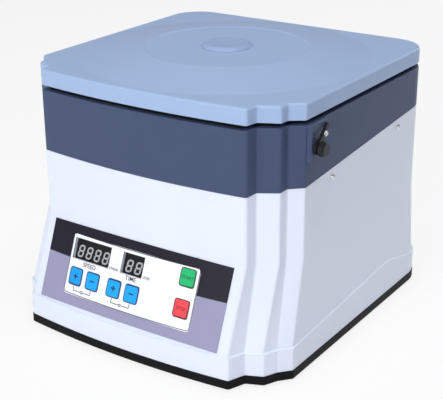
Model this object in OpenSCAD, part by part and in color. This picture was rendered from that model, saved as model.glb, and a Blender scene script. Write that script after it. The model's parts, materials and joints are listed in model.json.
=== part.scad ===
// Bench cytocentrifuge with a hinged lid, modelled closed and at rest.
// X runs to the right seen from the front, +Y to the rear and +Z up.
// The origin is on the bench under the middle of the whole machine. The modules are drawn
// about the rotor axis, and placed() moves them there.

/* [Cabinet] */
// Half width of the cabinet and the lid above the flare
half_w = 175; // [165:1:188]
// Distance from the rotor axis to the side edge of the front corner
corner_front = 118; // [112:1:128]
// Distance from the rotor axis to the rear wall
rear_y = 175; // [166:1:185]
// Radius of the two rear corners
rear_r = 40; // [30:1:46]
// How far the front face bulges between the corner flutes
front_bow = 8.3; // [4:0.1:12]
// Wall of the moulded housings and of the lid
wall = 3; // [2.5:0.1:3.5]
// Height of the bottom edge of the white housing
skirt_z = 13; // [11:0.5:16]
// Height of the skirt ledge at the front
ledge_z = 40; // [36:1:46]
// Height of the skirt ledge at its highest point on the sides
ledge_rise = 14.5; // [0:0.5:18]
// Height where the front begins to slope outwards
flare_z = 129; // [125:0.5:133]
// Slope of the lower front face from the vertical, in degrees
flare_angle = 21.8; // [18:0.1:24]
// How far each side wall flares out down to the ledge
side_flare = 5; // [2:0.5:7]
// How far the skirt stands proud at its ledge
ledge_step = 1.8; // [0.6:0.1:3]
// Height of the colour break at the front
band_front_z = 209; // [203:0.5:214]
// Height of the colour break at the rear
band_rear_z = 230; // [222:1:235]
// Height of the rim of the dark housing
rim_z = 275.5; // [270:0.5:280]

/* [Lid] */
// Gap between the rim and the lid's edge
lid_gap = 5; // [4:0.5:6]
// Height of the lid's side wall
lid_side = 18; // [17:0.5:24]
// Radius of the outer ring of the lid's dome
dome_r = 167; // [155:1:170]
// Rise of the dome from the outer ring to the inner disc
dome_rise = 10; // [5:0.1:12]
// Radius of the flat disc in the middle of the dome
disc_r = 95; // [85:1:105]
// Radius of the cap over the viewing port
port_cap_r = 29.5; // [26:0.5:34]
// Radius of the viewing port through the lid
port_r = 18; // [12:1:20]

/* [Panel] */
// Width of the two-tone label
label_w = 245; // [236:0.5:250]
// Height of the label along the slope
label_h = 91; // [86:0.5:92]
// Width and height of the white keypad sheet
membrane_w = 174.8; // [168:0.1:180]
// Height of the keypad sheet along the slope
membrane_h = 68.4; // [66:0.1:70]
// Width of a key
key_w = 17.6; // [15:0.5:18]
// Height of a key
key_h = 18.8; // [15:0.2:19]
// Travel of a key
key_travel = 0.5; // [0.3:0.1:0.8]

/* [Chamber] */
// Inner radius of the steel bowl
bowl_r = 122; // [118:1:124]
// Height of the bowl's floor
bowl_floor_z = 150; // [146:1:154]
// Thickness of the bowl
bowl_t = 1.2; // [0.8:0.1:1.5]

/* [Drive] */
// Radius of the motor can
motor_r = 48; // [44:1:54]
// Radius of the spindle
spindle_r = 6; // [5:0.5:7]
// Running clearance around a turning shaft or pin
running_gap = 0.05; // [0.02:0.01:0.1]

/* [Rotor] */
// Distance from the rotor axis to a holder's pivot
pivot_r = 92; // [88:1:93]
// Height of a holder's pivot
pivot_z = 214; // [212:1:218]
// Lean of a holder at rest, in degrees
holder_lean = 12; // [6:1:14]
// Radius of a holder's pivot pins
pivot_pin_r = 2.5; // [2:0.1:3]
// Radius of the sample well
well_r = 6; // [5:0.5:6.5]

/* [Hidden] */
$fn = 64;
fit_gap = 0.1; // between fixed pieces that face each other
seam_gap = 0.3; // shadow line between the two housings
holder_count = 6;
key_names = ["key_speed_up", "key_speed_down", "key_time_up", "key_time_down", "key_start", "key_stop"];
holder_numbers = [for (i = [1:holder_count]) str(i)];

// Plan of the fluted front corners: distance in from the side, and forward of the corner's edge
upper_flute = [[40, 48.3], [37.5, 33.5], [15.8, 22.6], [15, 11]];
lower_flute = [[44.9, 56.5], [37, 36.6], [18.7, 28.6], [11.5, 13.5]];
flute_fillet = 3.5;
flute_out = 27; // how far the corner's edge moves forward down to the ledge
front_half = half_w - upper_flute[0].x;
lid_z = rim_z + lid_gap;
lid_top_z = lid_z + lid_side;
deck_z = rim_z - 6;
deck_t = 3;
deck_hole_r = bowl_r + bowl_t + 1.5;
bowl_flange_r = deck_hole_r + 9;
ledge_bend_y = 75.5;
ledge_back_y = 131;
base_floor_z = 5;
base_floor_t = 2.5;
base_rim_z = 3;
colour_white = [0.93, 0.95, 0.98];
colour_band = [0.22, 0.27, 0.38];
colour_lid = [0.6, 0.7, 0.85];

function unit(v) = v / norm(v);

// Points of an arc of radius r that rounds the corner at b between a and c
function fillet(a, b, c, r, steps = 4) =
    let (u = unit(a - b), v = unit(c - b), half = acos(u * v) / 2,
         centre = b + unit(u + v) * r / sin(half),
         p = b + u * r / tan(half), q = b + v * r / tan(half),
         from = atan2(p.y - centre.y, p.x - centre.x),
         turn = atan2(q.y - centre.y, q.x - centre.x) - from,
         sweep = turn > 180 ? turn - 360 : turn < -180 ? turn + 360 : turn)
    [for (i = [0:steps]) centre + r * [cos(from + sweep * i / steps), sin(from + sweep * i / steps)]];

// Depth of the bowed front behind its middle, at x
function bow_at(x) = front_bow * pow(x / front_half, 2);

// Right half of the plan outline, from the middle of the front to the rear
function half_outline(hw, front, rear, r, flute) =
    let (a = [hw - flute[0].x, -front - flute[0].y],
         b = [hw - flute[1].x, -front - flute[1].y],
         c = [hw - flute[2].x, -front - flute[2].y],
         d = [hw - flute[3].x, -front - flute[3].y],
         e = [hw, -front],
         mid = a.y - bow_at(a.x),
         before = [a.x * 0.9, mid + bow_at(a.x * 0.9)])
    concat(
        [for (i = [0:8]) let (x = a.x * 0.94 * i / 8) [x, mid + bow_at(x)]],
        fillet(before, a, b, flute_fillet),
        fillet(a, b, c, flute_fillet),
        fillet(b, c, d, flute_fillet),
        fillet(c, d, e, flute_fillet),
        fillet(d, e, [hw, 0], flute_fillet),
        [[hw, -40], [hw, ledge_bend_y]],
        [for (i = [0:8]) [hw - r + r * cos(i * 90 / 8), rear - r + r * sin(i * 90 / 8)]]);

// Closed plan outline, counter-clockwise
function outline(hw = half_w, front = corner_front, rear = rear_y, r = rear_r, flute = upper_flute) =
    let (h = half_outline(hw, front, rear, r, flute), n = len(h))
    concat(h, [for (i = [n - 1:-1:1]) [-h[i].x, h[i].y]]);

// The outline moved inwards by t on every side
function inner_outline(t, hw = half_w, front = corner_front, rear = rear_y, r = rear_r, flute = upper_flute) =
    outline(hw - t, front - t, rear - t, r - t, flute);

// Height of the colour break between the housings at y
function band_z(y) =
    band_front_z + (y + corner_front) / (rear_y - 20 + corner_front) * (band_rear_z - band_front_z);

// Height of the skirt ledge at y: it climbs along the sides and drops again near the rear corner
function ledge_at(y) =
    let (start = -corner_front - flute_out)
    y < start ? ledge_z
    : y < ledge_bend_y ? ledge_z + ledge_rise * (y - start) / (ledge_bend_y - start)
    : y < ledge_back_y ? ledge_z + ledge_rise * (ledge_back_y - y) / (ledge_back_y - ledge_bend_y)
    : ledge_z;

// Skin through rings of 3D points with the same count, closed by a cap at each end
module loft(rings) {
    n = len(rings[0]);
    m = len(rings);
    low = [0, 0, rings[0][0].z];
    high = [0, 0, rings[m - 1][0].z];
    points = concat([for (ring = rings) for (p = ring) p], [low, high]);
    walls = [for (j = [0:m - 2]) for (i = [0:n - 1]) let (k = (i + 1) % n)
        each [[j * n + i, (j + 1) * n + k, j * n + k], [j * n + i, (j + 1) * n + i, (j + 1) * n + k]]];
    bottom = [for (i = [0:n - 1]) [n * m, i, (i + 1) % n]];
    top = [for (i = [0:n - 1]) [n * m + 1, (m - 1) * n + (i + 1) % n, (m - 1) * n + i]];
    polyhedron(concat(points), concat(walls, bottom, top));
}

function flat_ring(points, z) = [for (p = points) [p.x, p.y, z]];

// Body of the lower housing, inset by t, from low to well above the colour break
module flared_body(t, low, high) {
    proud = ledge_step;
    skirt = outline(half_w + side_flare + proud - t, corner_front + flute_out + proud - t,
        rear_y + proud - t, rear_r - t, lower_flute);
    foot = outline(half_w + side_flare - t, corner_front + flute_out - t, rear_y - t, rear_r - t, lower_flute);
    upper = inner_outline(t);
    loft([
        flat_ring(skirt, low),
        [for (p = skirt) [p.x, p.y, ledge_at(p.y) - 1]],
        [for (i = [0:len(foot) - 1]) [foot[i].x, foot[i].y, ledge_at(skirt[i].y)]],
        flat_ring(upper, flare_z),
        flat_ring(upper, high)]);
}

// Everything above the colour break, with lift moving the cut up
module above_break(lift = 0) {
    far = 400;
    side = [[-far, band_z(-far) + lift], [far, band_z(far) + lift], [far, far], [-far, far]];
    rotate([90, 0, 90])
        linear_extrude(2 * far, center = true)
            polygon(side);
}

// Frame of the sloped panel: x to the right, y up the slope, z out of the face, origin at the label's top middle
panel_top_z = flare_z - 1;
panel_top_y = -corner_front - upper_flute[0].y - front_bow - (flare_z - panel_top_z) * tan(flare_angle);
module on_panel(x = 0, down = 0, out = 0) {
    tilt = atan(2 * front_bow * cos(flare_angle) * x / pow(front_half, 2));
    translate([0, panel_top_y, panel_top_z])
        rotate([90 - flare_angle, 0, 0])
            translate([x, -down, -bow_at(x) * cos(flare_angle)])
                rotate([0, tilt, 0])
                    translate([0, 0, out])
                        children();
}

module rounded_plate(w, h, t, r) {
    linear_extrude(t)
        translate([-w / 2, -h / 2])
            polygon(concat(
                fillet([0, h], [0, 0], [w, 0], r),
                fillet([0, 0], [w, 0], [w, h], r),
                fillet([w, 0], [w, h], [0, h], r),
                fillet([w, h], [0, h], [0, 0], r)));
}

// Sheet that follows the bowed slope: left and right edges, top and bottom down the slope, and its height off the face
module bowed_sheet(left, right, top, bottom, out, t) {
    steps = 16;
    at = [for (i = [0:steps]) left + (right - left) * i / steps];
    lean = cos(flare_angle);
    line = concat(
        [for (x = at) [x, out - bow_at(x) * lean]],
        [for (i = [steps:-1:0]) [at[i], out + t - bow_at(at[i]) * lean]]);
    translate([0, panel_top_y, panel_top_z])
        rotate([90 - flare_angle, 0, 0])
            translate([0, -top, 0])
                rotate([90, 0, 0])
                    linear_extrude(bottom - top)
                        polygon(line);
}

// Places on the panel, from the label's top middle: [x, distance down the slope]
key_places = [[-74.2, 57.6], [-49.1, 57.6], [-18.2, 57.4], [6.7, 57.4], [72.3, 22.8], [71.8, 56.4]];
membrane_x = -1.1;
membrane_top = 10.6;
speed_window = [-58, 26.4, 53.8, 23.6];
time_window = [0.7, 26.5, 29.3, 23.4];
windows = [speed_window, time_window];
label_t = 0.4;
membrane_t = 0.6;
key_t = 1.6;
key_gap = 0.3;

module window_cuts(grow = 0) {
    for (w = windows)
        on_panel(w[0], w[1], -30)
            translate([-w[2] / 2 - grow, -w[3] / 2 - grow, 0])
                cube([w[2] + 2 * grow, w[3] + 2 * grow, 40]);
}

module key_cuts(grow) {
    for (p = key_places)
        on_panel(p[0], p[1], -30)
            translate([-key_w / 2 - grow, -key_h / 2 - grow, 0])
                cube([key_w + 2 * grow, key_h + 2 * grow, 40]);
}

// Side screws: [y, z]
side_screw_places = [[-61, 203.7], [95, 216]];
screw_r = 2;
module side_screw_holes(r) {
    for (side = [-1, 1], p = side_screw_places)
        translate([side * half_w, p[0], p[1]])
            rotate([0, 90, 0])
                cylinder(r = r, h = 40, center = true);
}

board_size = [196, 70];
board_down = 46;
board_out = -26;
board_x = -1.1;
boss_places = [for (sx = [-1, 1], sy = [-1, 1]) [board_x + sx * (board_size.x / 2 - 6), board_down + sy * 29]];

// Mains fittings on the rear wall: [x, z]
inlet_place = [-95, 84];
switch_place = [-48, 84];
fuse_places = [[-12, 94], [-12, 72]];
inlet_cut = [47.5, 27.5];
switch_cut = [13, 19.6];
fuse_r = 6.2;
vent_count = 9;

module rear_cuts() {
    at_rear(inlet_place) cube([inlet_cut.x, inlet_cut.y, 40], center = true);
    at_rear(switch_place) cube([switch_cut.x, switch_cut.y, 40], center = true);
    for (p = fuse_places)
        at_rear(p) cylinder(r = fuse_r, h = 40, center = true);
    for (i = [0:vent_count - 1])
        at_rear([50 + i * 9, 95]) cube([4, 56, 40], center = true);
}

// Frame on the rear wall's outer face: x across as the origin's x, y up, z out to the rear
module at_rear(p, out = 0) {
    translate([p[0], rear_y + out, p[1]])
        rotate([90, 0, 180])
            children();
}

module lower_housing() {
    color(colour_white)
    difference() {
        union() {
            difference() {
                flared_body(0, skirt_z, band_rear_z + 10);
                flared_body(wall, skirt_z - 1, band_rear_z + 11);
                above_break(-seam_gap);
            }
            for (p = boss_places)
                on_panel(p[0], p[1], board_out)
                    cylinder(r = 3.5, h = -board_out - wall + 0.4);
        }
        window_cuts();
        key_cuts(0);
        side_screw_holes(screw_r + fit_gap);
        rear_cuts();
    }
}

latch_y = -106;
latch_z = 249.5;
latch_boss_r = 9.5;
latch_boss_h = 4.5;
latch_shaft_r = 3;
guard_proud = 4.5;
keeper_x = half_w - 21;
keeper_t = 1.5;
keeper_low = deck_z - deck_t - 10;
cam_reach = keeper_low + 7.2 - latch_z;

module latch_guard() {
    low = 234;
    front = -corner_front + 1.2;
    for (box = [[front, low, 5.5, rim_z - low], [front, rim_z - 9, 34, 9]])
        hull()
            for (y = [box[0] + 2.5, box[0] + box[2] - 2.5], z = [box[1] + 2.5, box[1] + box[3] - 2.5])
                translate([half_w - 1, y, z])
                    rotate([0, 90, 0]) {
                        cylinder(r = 2.5, h = 1 + guard_proud - 1.5, $fn = 24);
                        cylinder(r = 1.2, h = 1 + guard_proud, $fn = 24);
                    }
}

module upper_housing() {
    lip = inner_outline(wall + fit_gap);
    band_low = floor(band_z(-corner_front - upper_flute[0].y - front_bow));
    color(colour_band)
    difference() {
        union() {
            intersection() {
                difference() {
                    translate([0, 0, band_low])
                        linear_extrude(rim_z - band_low)
                            polygon(outline());
                    translate([0, 0, band_low - 1])
                        linear_extrude(deck_z - deck_t - band_low + 1)
                            polygon(inner_outline(wall));
                    translate([0, 0, deck_z])
                        linear_extrude(10)
                            polygon(inner_outline(6));
                }
                above_break();
            }
            difference() {
                translate([0, 0, band_low - 10])
                    linear_extrude(deck_z - deck_t - band_low + 10.5)
                        polygon(lip);
                translate([0, 0, band_low - 11])
                    linear_extrude(deck_z)
                        polygon(inner_outline(2 * wall - 0.5));
            }
            latch_guard();
            translate([half_w - 1, latch_y, latch_z])
                rotate([0, 90, 0])
                    cylinder(r = latch_boss_r, h = 1 + latch_boss_h);
        }
        translate([0, 0, deck_z - 20])
            cylinder(r = deck_hole_r, h = 30);
        side_screw_holes(screw_r + fit_gap);
        translate([half_w, latch_y, latch_z])
            rotate([0, 90, 0])
                cylinder(r = latch_shaft_r + running_gap, h = 40, center = true);
        translate([keeper_x - 2.5, latch_y - 10, deck_z - deck_t - 1])
            cube([6, 20, 10]);
    }
}

module base_tray() {
    rim = inner_outline(-0.8, half_w + side_flare + ledge_step, corner_front + flute_out + ledge_step,
        rear_y + ledge_step, rear_r, lower_flute);
    color([0.05, 0.05, 0.06])
    difference() {
        translate([0, 0, base_rim_z])
            linear_extrude(skirt_z - base_rim_z - fit_gap)
                polygon(rim);
        translate([0, 0, base_floor_z + base_floor_t])
            linear_extrude(20)
                offset(delta = -wall)
                    polygon(rim);
        translate([0, 0, -1])
            linear_extrude(1 + base_floor_z)
                offset(delta = -wall)
                    polygon(rim);
        for (i = [0:7], side = [-1, 1])
            translate([side * 70 - 25, -70 + i * 9, 0])
                cube([50, 4, 20]);
    }
}

foot_places = [[-140, -150], [140, -150], [-138, 132], [138, 132]];
module rubber_feet() {
    color([0.08, 0.08, 0.08])
    for (p = foot_places)
        translate(p)
            difference() {
                union() {
                    cylinder(r1 = 12, r2 = 13, h = 3.5);
                    translate([0, 0, 3.5]) cylinder(r = 13, h = base_floor_z - 3.5);
                }
                translate([0, 0, -1]) cylinder(r = 4, h = 3);
            }
}

module rim_gasket() {
    color([0.03, 0.03, 0.03])
    difference() {
        translate([0, 0, deck_z])
            linear_extrude(lid_z - 0.4 - deck_z)
                polygon(inner_outline(6.3));
        translate([0, 0, deck_z - 1])
            linear_extrude(20)
                polygon(inner_outline(10));
    }
}

module chamber_bowl() {
    floor_hole = 24;
    color([0.8, 0.81, 0.83])
    rotate_extrude()
        polygon([
            [floor_hole, bowl_floor_z + 9], [floor_hole + bowl_t, bowl_floor_z + 9],
            [floor_hole + bowl_t, bowl_floor_z], [bowl_r - 14, bowl_floor_z], [bowl_r - 4, bowl_floor_z + 4],
            [bowl_r, bowl_floor_z + 14], [bowl_r, deck_z + bowl_t], [bowl_flange_r, deck_z + bowl_t],
            [bowl_flange_r, deck_z], [bowl_r + bowl_t, deck_z], [bowl_r + bowl_t, bowl_floor_z + 13],
            [bowl_r - 3, bowl_floor_z + 3], [bowl_r - 13.5, bowl_floor_z - bowl_t],
            [floor_hole, bowl_floor_z - bowl_t]]);
}

module chamber_seal() {
    color([0.05, 0.05, 0.05])
    translate([0, 0, deck_z + bowl_t])
        difference() {
            cylinder(r = bowl_flange_r - 1, h = lid_z - 0.3 - deck_z - bowl_t);
            translate([0, 0, -1]) cylinder(r = bowl_flange_r - 5, h = 30);
        }
}

module side_screws() {
    color([0.75, 0.76, 0.78])
    for (side = [-1, 1], p = side_screw_places)
        translate([side * half_w, p[0], p[1]])
            rotate([0, side * 90, 0]) {
                cylinder(r = 4.2, h = 0.6);
                translate([0, 0, -8.5]) cylinder(r = screw_r, h = 9);
                difference() {
                    intersection() {
                        cylinder(r = 3.5, h = 3);
                        translate([0, 0, -1.6]) sphere(r = 4.6);
                    }
                    for (turn = [0, 90])
                        rotate([0, 0, turn + 20])
                            translate([-1.9, -0.35, 2.2]) cube([3.8, 0.7, 2]);
                }
            }
}

module control_label() {
    color([0.45, 0.44, 0.52])
    difference() {
        bowed_sheet(-label_w / 2, label_w / 2, 0, label_h, fit_gap, label_t);
        window_cuts();
        key_cuts(0);
    }
}

module membrane_panel() {
    color("white")
    difference() {
        intersection() {
            bowed_sheet(membrane_x - membrane_w / 2, membrane_x + membrane_w / 2, membrane_top,
                membrane_top + membrane_h, 2 * fit_gap + label_t, membrane_t);
            translate([0, panel_top_y, panel_top_z])
                rotate([90 - flare_angle, 0, 0])
                    translate([membrane_x, -membrane_top - membrane_h / 2, -20])
                        rounded_plate(membrane_w, membrane_h, 40, 4);
        }
        window_cuts();
        key_cuts(key_gap);
    }
}

// A key is a domed pad on a stem that reaches its switch on the board
module key(i) {
    face = 2 * fit_gap + label_t + membrane_t + 0.5;
    color(i == 4 ? [0.1, 0.7, 0.4] : i == 5 ? [0.9, 0.25, 0.3] : [0.1, 0.65, 0.95])
    on_panel(key_places[i][0], key_places[i][1]) {
        translate([0, 0, face - key_t])
            rounded_plate(key_w - key_gap, key_h - key_gap, key_t, 2.5);
        translate([0, 0, board_out + 6 + key_travel])
            cylinder(r = 2.4, h = face - key_t - board_out - 6 - key_travel);
    }
}

module display(w) {
    color([0.12, 0.12, 0.13])
    on_panel(w[0], w[1])
        difference() {
            union() {
                translate([-w[2] / 2 + 0.4, -w[3] / 2 + 0.4, -11])
                    cube([w[2] - 0.8, w[3] - 0.8, 8]);
                for (sx = [-1, 1], sy = [-1, 1])
                    translate([sx * (w[2] / 2 - 4), sy * (w[3] / 2 - 4), board_out + 2])
                        cylinder(r = 1.2, h = -board_out - 12);
            }
            translate([-w[2] / 2 + 2, -w[3] / 2 + 1.4, -3.4])
                cube([w[2] - 4, w[3] - 6.4, 3]);
        }
}

module control_board() {
    color([0.1, 0.4, 0.2])
    difference() {
        union() {
            translate([0, panel_top_y, panel_top_z])
                rotate([90 - flare_angle, 0, 0])
                    translate([board_x - board_size.x / 2, -board_down - board_size.y / 2, board_out - 9])
                        cube([board_size.x, board_size.y, 1.6]);
            translate([0, panel_top_y, panel_top_z])
                rotate([90 - flare_angle, 0, 0])
                    for (p = [[-60, 40, 14, 26], [-10, 52, 20, 16], [40, 44, 24, 30]])
                        translate([p[0], -p[1], board_out - 13])
                            cube([p[2], p[3], 4.2]);
            for (p = key_places)
                on_panel(p[0], p[1], board_out - 4)
                    translate([-3, -3, -5 + 0.9])
                        cube([6, 6, 9.1]);
            for (w = windows)
                on_panel(w[0], w[1], board_out - 7.6)
                    translate([-w[2] / 2 + 2, -w[3] / 2 + 2, 0])
                        cube([w[2] - 4, w[3] - 4, 9.4]);
            for (p = boss_places)
                on_panel(p[0], p[1], board_out - 8)
                    cylinder(r = 3, h = 7.9);
        }
    }
}

motor_low = 39;
motor_high = 138;
bearing_r = 16;
bearing_h = 10;
module motor_can() {
    color([0.35, 0.36, 0.38])
    difference() {
        translate([0, 0, motor_low]) cylinder(r = motor_r, h = motor_high - motor_low);
        translate([0, 0, motor_low + 14]) cylinder(r = motor_r - 4, h = motor_high - motor_low - 28);
        translate([0, 0, motor_low + 3]) cylinder(r = bearing_r + 0.02, h = motor_high);
        for (i = [0:11])
            rotate([0, 0, i * 30])
                translate([motor_r - 2, -4, motor_low + 26]) cube([6, 8, 46]);
    }
}

module motor_bearings() {
    color([0.78, 0.79, 0.8])
    for (z = [motor_low + 3, motor_high - bearing_h])
        translate([0, 0, z])
            difference() {
                cylinder(r = bearing_r, h = bearing_h);
                translate([0, 0, -1]) cylinder(r = spindle_r + running_gap, h = bearing_h + 2);
            }
}

module motor_stator() {
    color([0.7, 0.4, 0.2])
    translate([0, 0, motor_low + 20])
        difference() {
            cylinder(r = motor_r - 4 - fit_gap, h = 60);
            translate([0, 0, -1]) cylinder(r = motor_r - 17.4, h = 70);
        }
}

module motor_core() {
    color([0.5, 0.5, 0.52])
    translate([0, 0, motor_low + 21])
        difference() {
            cylinder(r = motor_r - 18, h = 58);
            translate([0, 0, -1]) cylinder(r = spindle_r, h = 70);
        }
}

rotor_low = 164;
module spindle() {
    color([0.82, 0.83, 0.85])
    {
        translate([0, 0, motor_low + 3.2]) cylinder(r = spindle_r, h = rotor_low + 46 - motor_low);
        translate([0, 0, motor_high + 0.5]) cylinder(r = spindle_r + 4, h = rotor_low - motor_high - 0.5);
    }
}

mount_angles = [90, 210, 330];
mount_reach = 64;
module motor_plate() {
    color([0.6, 0.62, 0.65])
    difference() {
        translate([0, 0, motor_low - 4]) cylinder(r = 78, h = 4);
        translate([0, 0, motor_low - 5]) cylinder(r = 20, h = 6);
    }
}

module vibration_mounts() {
    low = base_floor_z + base_floor_t;
    high = motor_low - 4;
    color([0.07, 0.07, 0.07])
    for (a = mount_angles)
        rotate([0, 0, a])
            translate([mount_reach, 0, low])
                rotate_extrude()
                    polygon([[0, 0], [12, 0], [12, 5], [9, (high - low) / 2], [12, high - low - 5],
                        [12, high - low], [0, high - low]]);
}

hinge_y = rear_y + 5.2;
hinge_z = rim_z + 2.5;
hinge_x = 95;
knuckle_r = 4.5;
hinge_pin_r = 2;
leaf_w = 44;
module knuckle(x, w) {
    translate([x, hinge_y, hinge_z])
        rotate([0, 90, 0])
            cylinder(r = knuckle_r, h = w);
}

module hinge_bores(r) {
    for (side = [-1, 1])
        translate([side * hinge_x, hinge_y, hinge_z])
            rotate([0, 90, 0])
                cylinder(r = r, h = leaf_w + 20, center = true);
}

module leaf_plate(side, x, w, low, high) {
    translate([side * hinge_x + x, rear_y + 0.2, low])
        cube([w, 2, high - low]);
}

module hinge_leaves_body() {
    third = leaf_w / 3;
    color([0.75, 0.76, 0.78])
    difference() {
        for (side = [-1, 1]) {
            leaf_plate(side, -leaf_w / 2, leaf_w, rim_z - 32, rim_z - 4);
            for (x = [-leaf_w / 2, third / 2]) {
                leaf_plate(side, x, third, rim_z - 6, hinge_z + 1);
                knuckle(side * hinge_x + x, third);
            }
            for (x = [-14, 14], z = [rim_z - 25, rim_z - 13])
                translate([side * hinge_x + x, rear_y + 2.2, z])
                    rotate([-90, 0, 0])
                        cylinder(r1 = 3.4, r2 = 2.4, h = 1.6);
        }
        hinge_bores(hinge_pin_r + running_gap);
    }
}

module hinge_leaves_lid() {
    third = leaf_w / 3;
    x = -third / 2 + 0.3;
    color([0.75, 0.76, 0.78])
    difference() {
        for (side = [-1, 1]) {
            knuckle(side * hinge_x + x, third - 0.6);
            leaf_plate(side, x, third - 0.6, hinge_z, lid_z + 6);
            leaf_plate(side, -leaf_w / 2, leaf_w, lid_z + 3.5, lid_z + 16);
            for (dx = [-14, 14])
                translate([side * hinge_x + dx, rear_y + 2.2, lid_z + 10])
                    rotate([-90, 0, 0])
                        cylinder(r1 = 3.4, r2 = 2.4, h = 1.6);
        }
        hinge_bores(hinge_pin_r + running_gap);
    }
}

module hinge_pins() {
    color([0.85, 0.86, 0.88])
    for (side = [-1, 1])
        translate([side * hinge_x, hinge_y, hinge_z])
            rotate([0, 90, 0]) {
                cylinder(r = hinge_pin_r, h = leaf_w + 2, center = true);
                for (end = [-1, 1])
                    translate([0, 0, end * (leaf_w / 2 + 1)])
                        cylinder(r = 3, h = 1.4, center = true);
            }
}

module power_inlet() {
    color([0.06, 0.06, 0.07])
    difference() {
        union() {
            at_rear(inlet_place, 0.1)
                rounded_plate(50, 31, 2.4, 4);
            at_rear(inlet_place, 0)
                translate([-23.5, -13.5, -20]) cube([47, 27, 21]);
        }
        at_rear(inlet_place, 0)
            translate([-12.5, -9, -15]) cube([25, 18, 20]);
    }
    color([0.8, 0.8, 0.75])
    for (p = [[-7, 0], [0, 4], [7, 0]])
        at_rear(inlet_place, -20)
            translate([p[0] - 1, p[1] - 3, 4]) cube([2, 6, 14]);
}

module switch_frame() {
    color([0.07, 0.07, 0.08])
    difference() {
        union() {
            at_rear(switch_place, 0.1)
                rounded_plate(15, 21.5, 1.8, 1.5);
            at_rear(switch_place, 0)
                translate([-6.3, -9.6, -16]) cube([12.6, 19.2, 17]);
        }
        at_rear(switch_place, 0)
            translate([-4.9, -8.2, -9]) cube([9.8, 16.4, 20]);
    }
}

rocker_tilt = 10;
module power_rocker() {
    color([0.1, 0.1, 0.11])
    at_rear(switch_place, -1)
        rotate([rocker_tilt, 0, 0])
            intersection() {
                translate([-4.7, -7.2, -5]) cube([9.4, 14.4, 9]);
                rotate([0, 90, 0]) cylinder(r = 7.3, h = 20, center = true);
            }
}

module fuse_holders() {
    color([0.08, 0.08, 0.09])
    for (p = fuse_places) {
        at_rear(p, 0.1)
            difference() {
                cylinder(r = 8, h = 6);
                translate([-4, -0.6, 5]) cube([8, 1.2, 3]);
            }
        at_rear(p, -20) cylinder(r = fuse_r - fit_gap, h = 20.2);
    }
}

lid_wall = wall;
lid_roof = 3;
module lid_dome(drop) {
    rotate_extrude($fn = 96)
        polygon([
            [0, lid_top_z - 4 - drop], [dome_r - 2, lid_top_z - 4 - drop], [dome_r, lid_top_z - drop],
            [dome_r * 0.78, lid_top_z + dome_rise * 0.5 - drop], [disc_r, lid_top_z + dome_rise - drop],
            [disc_r - 3, lid_top_z + dome_rise - 0.8 - drop], [0, lid_top_z + dome_rise - 0.8 - drop]]);
}

module lid_shell() {
    color(colour_lid)
    difference() {
        union() {
            translate([0, 0, lid_z])
                linear_extrude(lid_side)
                    polygon(outline());
            lid_dome(0);
        }
        translate([0, 0, lid_z - 1])
            linear_extrude(lid_side - lid_roof + 1)
                polygon(inner_outline(lid_wall));
        difference() {
            lid_dome(lid_roof);
            cylinder(r = port_r + 4, h = 400);
        }
        cylinder(r = port_r, h = 400);
    }
}

module lid_liner() {
    color([0.85, 0.87, 0.9])
    difference() {
        union() {
            translate([0, 0, lid_z + 0.4])
                linear_extrude(2.4)
                    polygon(inner_outline(lid_wall + fit_gap));
            for (a = [45, 135, 225, 315])
                rotate([0, 0, a])
                    translate([150, 0, lid_z + 1]) cylinder(r = 6, h = lid_side - lid_roof - 1);
        }
        cylinder(r = port_r, h = 400);
        translate([keeper_x - 3, latch_y - 10, lid_z - 5])
            cube([7, 20, 12]);
    }
}

module port_cap() {
    seat = lid_top_z + dome_rise - 0.8;
    color([0.68, 0.77, 0.9])
    rotate_extrude($fn = 96)
        polygon([
            [0, seat - 12], [port_r - fit_gap, seat - 12], [port_r - fit_gap, seat + fit_gap],
            [port_cap_r, seat + fit_gap], [port_cap_r - 1, seat + 1.6], [port_cap_r - 6, seat + 4],
            [port_cap_r - 9, seat + 4], [12, seat + 3], [0, seat + 2.6]]);
}

// Keeper plate that hangs from the lid through a slot in the deck; its notch is open to the rear
module lid_keeper() {
    color([0.7, 0.72, 0.75])
    difference() {
        union() {
            translate([keeper_x, latch_y - 8, keeper_low]) cube([keeper_t, 16, lid_top_z - lid_roof - keeper_low]);
            translate([keeper_x - 6, latch_y - 8, lid_top_z - lid_roof - keeper_t]) cube([7, 16, keeper_t]);
        }
        translate([keeper_x - 1, latch_y - 4, keeper_low + 4]) cube([4, 20, 6.5]);
        translate([keeper_x - 1, latch_y + 3.2, keeper_low - 1]) cube([4, 20, 11.5]);
    }
}

latch_arm_t = 3;
latch_x = half_w + latch_boss_h + 0.4;
// Knob, shaft and pointer arm in one moulding, with the cam at the shaft's inner end
module latch_lever() {
    arm_tip = [19, 23];
    color([0.04, 0.04, 0.05])
    translate([0, latch_y, latch_z])
        rotate([0, 90, 0]) {
            translate([0, 0, latch_x]) {
                cylinder(r = 7, h = latch_arm_t);
                translate([0, 0, latch_arm_t]) cylinder(r = 5, h = 1.6);
                translate([0, 0, latch_arm_t + 1.5])
                    hull() {
                        translate([0, 0, 1]) cylinder(r = 8, h = 5, $fn = 32);
                        cylinder(r = 6.6, h = 7.2, $fn = 32);
                    }
                hull() {
                    cylinder(r = 4, h = latch_arm_t, $fn = 32);
                    translate([-arm_tip[1] + 3, arm_tip[0] - 1, 0]) cylinder(r = 2.2, h = latch_arm_t, $fn = 32);
                }
            }
            translate([0, 0, keeper_x + keeper_t + 0.4])
                cylinder(r = latch_shaft_r, h = latch_x - keeper_x - keeper_t);
            translate([-cam_reach - 2, -2.5, keeper_x + keeper_t + 0.4])
                cube([cam_reach + 2, 5, 3]);
            translate([-cam_reach, 0, keeper_x - 1.5])
                cylinder(r = 2, h = 4);
        }
}

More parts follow.
